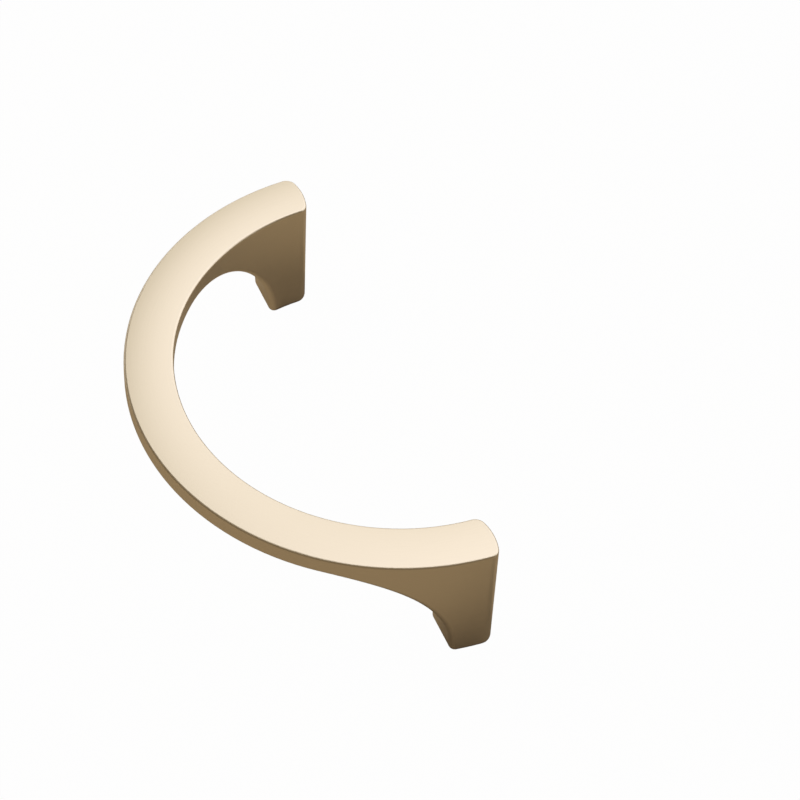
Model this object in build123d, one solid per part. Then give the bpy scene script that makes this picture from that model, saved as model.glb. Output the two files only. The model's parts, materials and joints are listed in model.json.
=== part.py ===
"""Half-round cabinet pull: one solid casting, a half ring with a cambered top, carried on two feet."""
import os
from math import hypot, sqrt

from build123d import *

# Driving sizes in millimetres
HOLE_SPACING = 96.0     # between the two fixing screws, a standard size for pulls
BAR_WIDTH = 9.8         # of the half ring, from its inner wall to its outer wall
BAR_THICKNESS = 4.5     # of the half ring where the arch is highest, along the middle of its top
HEIGHT = 28.5           # from the mounting plane to the middle line of the top
TOP_CAMBER = 0.2        # the top is this much lower at its edges than along its middle
END_SETBACK = 0.1       # of the middle of each end from the centre of the half ring
END_DOME = 1.0          # the ends are domed: their corners stand this much further back
FOOT_DEPTH = 9.2        # of a foot at its base, measured from the end face
FOOT_STRAIGHT = 1.1     # upright part of a foot's arch side, below the sweep
END_CORNER_R = 2.2      # upright corners at each end
TOP_EDGE_R = 0.5        # edge around the top
ARCH_EDGE_R = 1.2       # edges around the arch
BASE_EDGE_R = 1.8       # edges around the bases of the feet
TAP_R = 1.65            # drilled radius for an M4 thread
TAP_DEPTH = 12.0        # full-width depth of a screw hole
MOUTH_R = 2.15          # countersunk mouth of a screw hole
CUT_CLEARANCE = 2.0     # how far a cut runs past what it cuts

# Sizes that follow from those
hole_y = END_SETBACK + FOOT_DEPTH / 2
mid_r = hypot(HOLE_SPACING / 2, hole_y)
outer_r = mid_r + BAR_WIDTH / 2
inner_r = mid_r - BAR_WIDTH / 2
corner_y = END_SETBACK + END_DOME
outer_x = sqrt(outer_r ** 2 - corner_y ** 2)
inner_x = sqrt(inner_r ** 2 - corner_y ** 2)
dome_x = (outer_x + inner_x) / 2
arch_top = HEIGHT - BAR_THICKNESS
arch_r = arch_top - FOOT_STRAIGHT
arch_y = END_SETBACK + FOOT_DEPTH
arch_far = max(outer_r, arch_y + arch_r) + CUT_CLEARANCE
below = -CUT_CLEARANCE

# Half ring seen from above, its crown towards +Y, the upright corners of its ends rounded
plan_edges = [
    ThreePointArc((outer_x, corner_y), (0, outer_r), (-outer_x, corner_y)),
    ThreePointArc((-outer_x, corner_y), (-dome_x, END_SETBACK), (-inner_x, corner_y)),
    ThreePointArc((-inner_x, corner_y), (0, inner_r), (inner_x, corner_y)),
    ThreePointArc((inner_x, corner_y), (dome_x, END_SETBACK), (outer_x, corner_y)),
]
plan = make_face(Wire(plan_edges))
plan = fillet(plan.vertices(), END_CORNER_R)
pull = extrude(plan, HEIGHT + CUT_CLEARANCE)

# Cambered top: what lies above one shallow arc, turned about the Z axis, is cut away
camber_r = ((BAR_WIDTH / 2) ** 2 + TOP_CAMBER ** 2) / (2 * TOP_CAMBER)
cut_half = BAR_WIDTH / 2 + CUT_CLEARANCE
cut_low = HEIGHT - camber_r + sqrt(camber_r ** 2 - cut_half ** 2)
cut_high = HEIGHT + 2 * CUT_CLEARANCE
cut_edges = [
    ThreePointArc((mid_r - cut_half, cut_low), (mid_r, HEIGHT), (mid_r + cut_half, cut_low)),
    Line((mid_r + cut_half, cut_low), (mid_r + cut_half, cut_high)),
    Line((mid_r + cut_half, cut_high), (mid_r - cut_half, cut_high)),
    Line((mid_r - cut_half, cut_high), (mid_r - cut_half, cut_low)),
]
over = Plane.XZ * make_face(Wire(cut_edges))
pull -= revolve(over, Axis.Z)

# The arch under the bar, one sweep from each foot up to the bar
foot_low = (arch_y, below)
foot_side = (arch_y, FOOT_STRAIGHT)
sweep_end = (arch_y + arch_r, arch_top)
far_top = (arch_far, arch_top)
far_low = (arch_far, below)
arch_edges = [
    Line(foot_low, foot_side),
    RadiusArc(foot_side, sweep_end, arch_r),
    Line(sweep_end, far_top),
    Line(far_top, far_low),
    Line(far_low, foot_low),
]
arch = Plane.YZ * make_face(Wire(arch_edges))
pull -= extrude(arch, 2 * outer_r, both=True)


# Rounded edges: around the arch first, then the bases of the feet, then around the top
def is_arch_edge(edge):
    box = edge.bounding_box()
    along_x = box.size.Y < 0.001 and box.size.Z < 0.001
    return 0.001 < box.max.Z < arch_top + 0.01 and not along_x


arch_lines = [edge for edge in pull.edges() if is_arch_edge(edge)]
pull = fillet(arch_lines, ARCH_EDGE_R)
base_lines = [edge for edge in pull.edges() if edge.bounding_box().max.Z < 0.001]
pull = fillet(base_lines, BASE_EDGE_R)
top_lines = pull.faces().sort_by(Axis.Z)[-1].edges()
pull = fillet(top_lines, TOP_EDGE_R)

# The screw holes lie on the X axis, midway through each foot
pull = Pos(0, -hole_y) * pull
mouth_depth = MOUTH_R - TAP_R
tip_depth = TAP_R * 0.6
for side in (-1, 1):
    at = Pos(side * HOLE_SPACING / 2, 0)
    drill = Pos(0, 0, TAP_DEPTH / 2) * Cylinder(TAP_R, TAP_DEPTH)
    tip = Pos(0, 0, TAP_DEPTH + tip_depth / 2) * Cone(TAP_R, 0, tip_depth)
    mouth = Pos(0, 0, mouth_depth / 2) * Cone(MOUTH_R, TAP_R, mouth_depth)
    pull -= at * (drill + tip + mouth)

os.makedirs("parts", exist_ok=True)
export_step(pull.solid(), "parts/pull.step")
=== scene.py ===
"""Half-round cabinet pull in satin brass, in a white studio."""
import json
import math

import bpy
from mathutils import Matrix, Vector

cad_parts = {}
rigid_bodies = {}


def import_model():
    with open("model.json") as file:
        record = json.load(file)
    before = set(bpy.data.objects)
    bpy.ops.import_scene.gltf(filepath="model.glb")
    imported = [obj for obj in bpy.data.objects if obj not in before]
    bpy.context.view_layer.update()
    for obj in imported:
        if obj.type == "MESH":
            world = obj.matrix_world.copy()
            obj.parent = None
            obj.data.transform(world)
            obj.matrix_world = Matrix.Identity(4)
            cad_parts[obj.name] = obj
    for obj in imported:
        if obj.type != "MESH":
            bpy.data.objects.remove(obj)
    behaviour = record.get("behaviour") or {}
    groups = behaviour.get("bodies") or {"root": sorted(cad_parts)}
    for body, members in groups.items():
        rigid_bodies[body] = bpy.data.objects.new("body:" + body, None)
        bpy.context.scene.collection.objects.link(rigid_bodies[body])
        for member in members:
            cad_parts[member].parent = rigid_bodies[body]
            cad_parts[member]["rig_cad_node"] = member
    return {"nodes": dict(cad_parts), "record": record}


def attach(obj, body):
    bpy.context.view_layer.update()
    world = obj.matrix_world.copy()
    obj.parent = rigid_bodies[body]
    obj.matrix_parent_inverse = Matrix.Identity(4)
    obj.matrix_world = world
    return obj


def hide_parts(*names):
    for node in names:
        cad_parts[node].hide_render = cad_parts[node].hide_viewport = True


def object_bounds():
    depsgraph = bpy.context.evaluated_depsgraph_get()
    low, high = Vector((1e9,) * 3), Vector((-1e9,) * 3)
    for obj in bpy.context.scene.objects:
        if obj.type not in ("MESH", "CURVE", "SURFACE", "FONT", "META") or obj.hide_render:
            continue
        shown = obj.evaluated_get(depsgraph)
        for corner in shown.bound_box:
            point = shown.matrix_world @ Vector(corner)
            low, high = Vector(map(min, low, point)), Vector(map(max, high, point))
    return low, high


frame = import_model()
cad_low, cad_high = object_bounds()
mounts = {mount["name"]: mount for mount in frame["record"]["mounts"]}
screw_holes = mounts["screw_holes"]["dims"]

# Sizes of the pull in metres
MM = 0.001
END_SETBACK = 0.0001        # of the two ends from the centre of the half ring
RING_Y = cad_low[1] - END_SETBACK
HOLE_X = screw_holes["spacing_x_mm"] * MM / 2
REAMED = 0.00003            # the drill's radius is this much larger than the solid's own bore
BORE_R = screw_holes["hole_r_mm"] * MM + REAMED
BORE_DEPTH = 0.01205        # to where the drilled tip starts
TIP_DEPTH = 0.0010
MOUTH_DEPTH = 0.0005        # of the countersunk mouth
DRILL_SIDES = 72
THREAD_R = 0.0020           # outer radius of an M4 thread
THREAD_PITCH = 0.0007
THREAD_TURNS = 16
THREAD_STEPS = 60           # in one turn
THREAD_START = math.radians(2.5)    # turns the groove, so that its edges miss the drill's
THREAD_V = 0.00028          # middle of the V to its corners
THREAD_CORNERS = 3          # of the V
SAME_PLACE = 0.0000001      # points closer than this are one
SAME_HEIGHT = 0.00001       # a face this near a height lies at it
END_FACING = 0.9            # least upright part of a flat end's normal
SMOOTH_ANGLE = math.radians(30)

# Satin brass finish
BRUSH_ACROSS = 9000.0       # brush marks in a metre, across the ring and up its walls
BRUSH_AROUND = 7.0          # brush marks in a radian, around the ring
BRUSH_DETAIL = 3.0          # rounds of finer marks
BRUSH_BREAKUP = 0.65        # how strong the finer marks are
FAINT_MARK = 0.3            # strength of the brush marks at the low end of each range below
STRONG_MARK = 0.7           # and at the high end
ROUGHNESS_LOW = 0.31
ROUGHNESS_HIGH = 0.37
DEEP_BRASS = (0.905, 0.790, 0.635)
PALE_BRASS = (0.935, 0.820, 0.665)
MARK_STRENGTH = 0.06        # of the marks as a relief
MARK_DEPTH = 0.00002


# Node helpers
def new_material(name):
    """An empty material."""
    material = bpy.data.materials.new(name)
    material.use_nodes = True
    material.node_tree.nodes.clear()
    return material


def math_node(tree, operation, a, b=None):
    """One sum on numbers or on other nodes' results."""
    node = tree.nodes.new("ShaderNodeMath")
    node.operation = operation
    for socket, value in zip(node.inputs, (a, b)):
        if value is None:
            continue
        if isinstance(value, (int, float)):
            socket.default_value = value
        else:
            tree.links.new(value, socket)
    return node.outputs[0]


# Satin brass, brushed around the half ring
def brush_marks(tree):
    """Noise that is fine across the ring and long around it."""
    nodes, links = tree.nodes, tree.links
    coord = nodes.new("ShaderNodeTexCoord")
    split = nodes.new("ShaderNodeSeparateXYZ")
    links.new(coord.outputs["Object"], split.inputs[0])
    x, y, z = split.outputs
    y = math_node(tree, "SUBTRACT", y, RING_Y)
    x_squared = math_node(tree, "MULTIPLY", x, x)
    y_squared = math_node(tree, "MULTIPLY", y, y)
    radius = math_node(tree, "SQRT", math_node(tree, "ADD", x_squared, y_squared))
    angle = math_node(tree, "ARCTAN2", y, x)
    lines = nodes.new("ShaderNodeCombineXYZ")
    links.new(math_node(tree, "MULTIPLY", radius, BRUSH_ACROSS), lines.inputs[0])
    links.new(math_node(tree, "MULTIPLY", angle, BRUSH_AROUND), lines.inputs[1])
    links.new(math_node(tree, "MULTIPLY", z, BRUSH_ACROSS), lines.inputs[2])
    brush = nodes.new("ShaderNodeTexNoise")
    brush.inputs["Scale"].default_value = 1.0
    brush.inputs["Detail"].default_value = BRUSH_DETAIL
    brush.inputs["Roughness"].default_value = BRUSH_BREAKUP
    links.new(lines.outputs[0], brush.inputs["Vector"])
    return brush.outputs["Fac"]


def make_brass():
    """Metal whose roughness, tone and relief follow the brush marks."""
    material = new_material("satin_brass")
    tree = material.node_tree
    nodes, links = tree.nodes, tree.links
    marks = brush_marks(tree)

    rough = nodes.new("ShaderNodeMapRange")
    rough.inputs["From Min"].default_value = FAINT_MARK
    rough.inputs["From Max"].default_value = STRONG_MARK
    rough.inputs["To Min"].default_value = ROUGHNESS_LOW
    rough.inputs["To Max"].default_value = ROUGHNESS_HIGH
    links.new(marks, rough.inputs["Value"])

    # The sockets for a colour come after those for a number, so they are taken by place
    tone = nodes.new("ShaderNodeMapRange")
    tone.data_type = "FLOAT_VECTOR"
    value, from_low, from_high, to_low, to_high = tone.inputs[6:11]
    from_low.default_value = (FAINT_MARK, FAINT_MARK, FAINT_MARK)
    from_high.default_value = (STRONG_MARK, STRONG_MARK, STRONG_MARK)
    to_low.default_value = DEEP_BRASS
    to_high.default_value = PALE_BRASS
    links.new(marks, value)

    relief = nodes.new("ShaderNodeBump")
    relief.inputs["Strength"].default_value = MARK_STRENGTH
    relief.inputs["Distance"].default_value = MARK_DEPTH
    links.new(marks, relief.inputs["Height"])

    metal = nodes.new("ShaderNodeBsdfPrincipled")
    metal.inputs["Metallic"].default_value = 1.0
    links.new(tone.outputs[1], metal.inputs["Base Color"])
    links.new(rough.outputs[0], metal.inputs["Roughness"])
    links.new(relief.outputs[0], metal.inputs["Normal"])
    out = nodes.new("ShaderNodeOutputMaterial")
    links.new(metal.outputs[0], out.inputs["Surface"])
    return material


# Screw holes: drilled, countersunk and tapped in a copy of the pull
def select_flat_end(piece, z):
    """Selects the flat end of a cutter at the given height."""
    bpy.ops.object.mode_set(mode="EDIT")
    bpy.ops.mesh.select_mode(type="FACE")
    bpy.ops.mesh.select_all(action="DESELECT")
    bpy.ops.object.mode_set(mode="OBJECT")
    for face in piece.data.polygons:
        face.select = abs(face.normal.z) > END_FACING and abs(face.center.z - z) < SAME_HEIGHT
    bpy.ops.object.mode_set(mode="EDIT")


def shape_drill():
    """Cutter on the Z axis: a straight bore with a drilled tip and a countersunk mouth."""
    bpy.ops.object.select_all(action="DESELECT")
    bpy.ops.mesh.primitive_cylinder_add(vertices=DRILL_SIDES, radius=BORE_R, depth=BORE_DEPTH - MOUTH_DEPTH,
                                        location=(0, 0, (BORE_DEPTH + MOUTH_DEPTH) / 2))
    drill = bpy.context.object
    drill.name = "drill"
    bpy.ops.object.transform_apply(location=True, rotation=True, scale=True)
    select_flat_end(drill, BORE_DEPTH)
    bpy.ops.mesh.extrude_region_move(TRANSFORM_OT_translate={"value": (0, 0, TIP_DEPTH)})
    bpy.ops.mesh.merge(type="CENTER")
    select_flat_end(drill, MOUTH_DEPTH)
    bpy.ops.mesh.extrude_region_move(TRANSFORM_OT_translate={"value": (0, 0, -MOUTH_DEPTH)})
    widen = (BORE_R + MOUTH_DEPTH) / BORE_R
    bpy.ops.transform.resize(value=(widen, widen, 1), center_override=(0, 0, 0))
    bpy.ops.mesh.extrude_region_move(TRANSFORM_OT_translate={"value": (0, 0, -MOUTH_DEPTH)})
    bpy.ops.object.mode_set(mode="OBJECT")
    return drill


def wind_thread_groove():
    """Cutter on the Z axis: the equilateral V of a metric thread, wound up the hole."""
    bpy.ops.object.select_all(action="DESELECT")
    bpy.ops.mesh.primitive_circle_add(vertices=THREAD_CORNERS, radius=THREAD_V, fill_type="NOTHING",
                                      location=(THREAD_R - THREAD_V, 0, -THREAD_PITCH),
                                      rotation=(math.pi / 2, math.pi / 2, 0))
    groove = bpy.context.object
    groove.name = "thread_groove"
    bpy.ops.object.transform_apply(location=True, rotation=True, scale=True)
    winding = groove.modifiers.new("winding", "SCREW")
    winding.axis = "Z"
    winding.screw_offset = THREAD_PITCH
    winding.iterations = THREAD_TURNS
    winding.steps = THREAD_STEPS
    winding.render_steps = THREAD_STEPS
    bpy.ops.object.modifier_apply(modifier=winding.name)
    bpy.ops.object.mode_set(mode="EDIT")
    bpy.ops.mesh.select_all(action="SELECT")
    bpy.ops.mesh.fill_holes(sides=THREAD_CORNERS)
    bpy.ops.mesh.select_all(action="SELECT")
    bpy.ops.transform.rotate(value=THREAD_START, orient_axis="Z", center_override=(0, 0, 0))
    bpy.ops.object.mode_set(mode="OBJECT")
    return groove


def point_outwards(piece):
    """Turns all of a closed piece's faces outwards."""
    bpy.ops.object.select_all(action="DESELECT")
    piece.select_set(True)
    bpy.context.view_layer.objects.active = piece
    bpy.ops.object.mode_set(mode="EDIT")
    bpy.ops.mesh.select_all(action="SELECT")
    bpy.ops.mesh.normals_make_consistent(inside=False)
    bpy.ops.object.mode_set(mode="OBJECT")


def combine(piece, tool, operation):
    """Adds the tool's shape to the piece or cuts it out, and removes the tool."""
    point_outwards(tool)
    point_outwards(piece)
    change = piece.modifiers.new("change", "BOOLEAN")
    change.operation = operation
    change.solver = "EXACT"
    change.object = tool
    bpy.ops.object.modifier_apply(modifier=change.name)
    bpy.data.objects.remove(tool)


def shape_taps():
    """Cutter for both holes: the drill with the thread's ridge around it, once and copied."""
    taps = shape_drill()
    combine(taps, wind_thread_groove(), "UNION")
    bpy.ops.object.mode_set(mode="EDIT")
    bpy.ops.mesh.select_all(action="SELECT")
    bpy.ops.transform.translate(value=(-HOLE_X, 0, 0))
    bpy.ops.mesh.duplicate_move(TRANSFORM_OT_translate={"value": (2 * HOLE_X, 0, 0)})
    bpy.ops.object.mode_set(mode="OBJECT")
    return taps


def merge_points():
    """Joins the active piece's points that lie in one place."""
    bpy.ops.object.mode_set(mode="EDIT")
    bpy.ops.mesh.select_all(action="SELECT")
    bpy.ops.mesh.remove_doubles(threshold=SAME_PLACE)
    bpy.ops.object.mode_set(mode="OBJECT")


def tap_screw_holes(solid):
    """A copy of the solid with its two plain bores drilled and tapped."""
    bpy.ops.object.select_all(action="DESELECT")
    solid.select_set(True)
    bpy.context.view_layer.objects.active = solid
    bpy.ops.object.duplicate()
    tapped = bpy.context.object
    tapped.name = "tapped_pull"
    del tapped["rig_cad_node"]
    mesh = tapped.data

    # The normals of the solid go along, so that the skin shades as smoothly as before
    kept = mesh.attributes.new("solid_normal", "FLOAT_VECTOR", "CORNER")
    for corner, normal in zip(kept.data, mesh.corner_normals):
        corner.vector = normal.vector
    bpy.ops.mesh.customdata_custom_splitnormals_clear()
    merge_points()
    combine(tapped, shape_taps(), "DIFFERENCE")
    merge_points()
    bpy.ops.object.shade_smooth_by_angle(angle=SMOOTH_ANGLE)
    kept = mesh.attributes["solid_normal"]
    mesh.normals_split_custom_set([corner.vector for corner in kept.data])
    mesh.attributes.remove(kept)
    return tapped


brass = make_brass()
pull = tap_screw_holes(frame["nodes"]["pull"])
pull.data.materials.clear()
pull.data.materials.append(brass)
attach(pull, "root")
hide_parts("pull")

# White studio floor
FLOOR_SIZE = 6
FLOOR_Z = -0.0002               # just under the feet
FLOOR_TONE = (0.208, 0.163, 0.100, 1)
WHITE_SEEN = 0.985              # share of white that the camera sees, the rest keeps the shadow
WHITE_MIRRORED = 0.02           # share of white that the metal sees
WHITE_THROUGH = 0.97            # share of white that is seen through clear things


def make_floor_white():
    """White to the camera, and a dim warm tone to the metal, so that the walls of the pull stay dark."""
    material = new_material("studio_white")
    tree = material.node_tree
    nodes, links = tree.nodes, tree.links
    paper = nodes.new("ShaderNodeBsdfDiffuse")
    paper.inputs["Color"].default_value = FLOOR_TONE
    white = nodes.new("ShaderNodeEmission")
    white.inputs["Color"].default_value = (1, 1, 1, 1)
    white.inputs["Strength"].default_value = 1.0
    path = nodes.new("ShaderNodeLightPath")
    seen = math_node(tree, "MULTIPLY", path.outputs["Is Camera Ray"], WHITE_SEEN)
    mirrored = math_node(tree, "MULTIPLY", path.outputs["Is Glossy Ray"], WHITE_MIRRORED)
    through = math_node(tree, "MULTIPLY", path.outputs["Is Transmission Ray"], WHITE_THROUGH)
    share = math_node(tree, "MAXIMUM", math_node(tree, "MAXIMUM", seen, mirrored), through)
    mix = nodes.new("ShaderNodeMixShader")
    links.new(share, mix.inputs[0])
    links.new(paper.outputs[0], mix.inputs[1])
    links.new(white.outputs[0], mix.inputs[2])
    out = nodes.new("ShaderNodeOutputMaterial")
    links.new(mix.outputs[0], out.inputs["Surface"])
    return material


bpy.ops.object.select_all(action="DESELECT")
bpy.ops.mesh.primitive_plane_add(size=FLOOR_SIZE, location=(0, 0, FLOOR_Z))
floor = bpy.context.object
floor.name = "studio_floor"
floor.data.materials.append(make_floor_white())

# Camera at the photo's angle
AZIMUTH = math.radians(244.36)
ELEVATION = math.radians(49.2)
ROLL = math.radians(3.31)
DISTANCE = 0.5544
AIM = Vector((-0.01140, -0.00115, 0.02848))
LENS = 128.25                   # in millimetres, as the sensor is
SENSOR = 36
NEAREST = 0.01                  # that the camera sees
back = Vector((math.sin(AZIMUTH) * math.cos(ELEVATION), -math.cos(AZIMUTH) * math.cos(ELEVATION),
               math.sin(ELEVATION)))
level = Vector((math.cos(AZIMUTH), math.sin(AZIMUTH), 0))
rise = back.cross(level)
right = level * math.cos(ROLL) + rise * math.sin(ROLL)
up = rise * math.cos(ROLL) - level * math.sin(ROLL)
camera_data = bpy.data.cameras.new("camera")
camera_data.lens = LENS
camera_data.sensor_width = SENSOR
camera_data.clip_start = NEAREST
camera = bpy.data.objects.new("camera", camera_data)
turn = Matrix((right, up, back)).transposed()
camera.matrix_world = Matrix.Translation(AIM + back * DISTANCE) @ turn.to_4x4()
bpy.context.scene.collection.objects.link(camera)
bpy.context.scene.camera = camera

# Soft studio light: white overhead and to the right, pale low down behind, dim on the camera's side.
# Start and full are cosines of the angle from a light's middle, where it begins and where it is full.
KEY_TURN = math.radians(64)     # to the right of straight behind
KEY_RISE = math.radians(48)
KEY_START = 0.40
KEY_FULL = 0.74
KEY_LEVEL = 0.9
FRONT_START = -0.32             # the key fades out on the camera's side
FRONT_FULL = -0.02
TOP_START = 0.86                # and is a little stronger straight overhead
TOP_FULL = 0.98
TOP_LEVEL = 0.1
BEHIND_TURN = math.radians(-15)     # to the left of straight behind
BEHIND_RISE = math.radians(-35)     # below level
BEHIND_START = 0.38
BEHIND_FULL = 0.62
BEHIND_LEVEL = 0.8
ROOM_DIM = (0.133, 0.105, 0.066, 1)
ROOM_WARM = (0.625, 0.613, 0.516, 1)
ROOM_PALE = (0.805, 0.800, 0.785, 1)
ROOM_WHITE = (0.953, 0.953, 0.992, 1)
WARM_LEVEL = 0.60               # level of light at which the room is warm
PALE_LEVEL = 0.82               # and pale
ROOM_STRENGTH = 1.28
far = Vector((-back.x, -back.y, 0)).normalized()


def studio_direction(turn_right, rise_up):
    """Direction from the pull, turned from straight behind and raised from level."""
    flat = far * math.cos(turn_right) + level * math.sin(turn_right)
    return flat * math.cos(rise_up) + Vector((0, 0, math.sin(rise_up)))


def glow(tree, direction, toward, start, full, strength):
    """Light that grows smoothly as a direction turns toward the given one."""
    dot = tree.nodes.new("ShaderNodeVectorMath")
    dot.operation = "DOT_PRODUCT"
    tree.links.new(direction, dot.inputs[0])
    dot.inputs[1].default_value = toward
    ramp = tree.nodes.new("ShaderNodeMapRange")
    ramp.interpolation_type = "SMOOTHSTEP"
    ramp.inputs["From Min"].default_value = start
    ramp.inputs["From Max"].default_value = full
    ramp.inputs["To Min"].default_value = 0.0
    ramp.inputs["To Max"].default_value = strength
    tree.links.new(dot.outputs["Value"], ramp.inputs["Value"])
    return ramp.outputs[0]


world = bpy.data.worlds.new("studio_room")
bpy.context.scene.world = world
world.use_nodes = True
sky = world.node_tree
room = sky.nodes["Background"]
where = sky.nodes.new("ShaderNodeTexCoord").outputs["Generated"]
overhead = glow(sky, where, studio_direction(KEY_TURN, KEY_RISE), KEY_START, KEY_FULL, KEY_LEVEL)
not_in_front = glow(sky, where, far, FRONT_START, FRONT_FULL, 1.0)
overhead = math_node(sky, "MULTIPLY", overhead, not_in_front)
topmost = glow(sky, where, (0, 0, 1), TOP_START, TOP_FULL, TOP_LEVEL)
overhead = math_node(sky, "MULTIPLY", overhead, math_node(sky, "ADD", topmost, 1.0))
low_behind = studio_direction(BEHIND_TURN, BEHIND_RISE)
behind = glow(sky, where, low_behind, BEHIND_START, BEHIND_FULL, BEHIND_LEVEL)
shade = sky.nodes.new("ShaderNodeValToRGB")
shades = shade.color_ramp.elements
shades[0].color = ROOM_DIM
shades[1].color = ROOM_WHITE
shades.new(WARM_LEVEL).color = ROOM_WARM
shades.new(PALE_LEVEL).color = ROOM_PALE
sky.links.new(math_node(sky, "MAXIMUM", overhead, behind), shade.inputs[0])
sky.links.new(shade.outputs[0], room.inputs["Color"])
room.inputs["Strength"].default_value = ROOM_STRENGTH

# A softbox on the left lights the floor, so that the floor to the right of each wall is in shadow
SIDE_SIZE = 0.35
SIDE_RADIANCE = 26.0
SIDE_TURN = math.radians(-78)   # to the left of straight behind
SIDE_RISE = math.radians(50)
side_data = bpy.data.lights.new("side_softbox", "AREA")
side_data.shape = "SQUARE"
side_data.size = SIDE_SIZE
side_data.energy = math.pi * SIDE_SIZE ** 2 * SIDE_RADIANCE
side_softbox = bpy.data.objects.new("side_softbox", side_data)
side_softbox.location = studio_direction(SIDE_TURN, SIDE_RISE)
side_softbox.rotation_euler = side_softbox.location.to_track_quat("Z", "Y").to_euler()
side_softbox.visible_glossy = False
bpy.context.scene.collection.objects.link(side_softbox)

bpy.context.scene.view_settings.view_transform = "Standard"
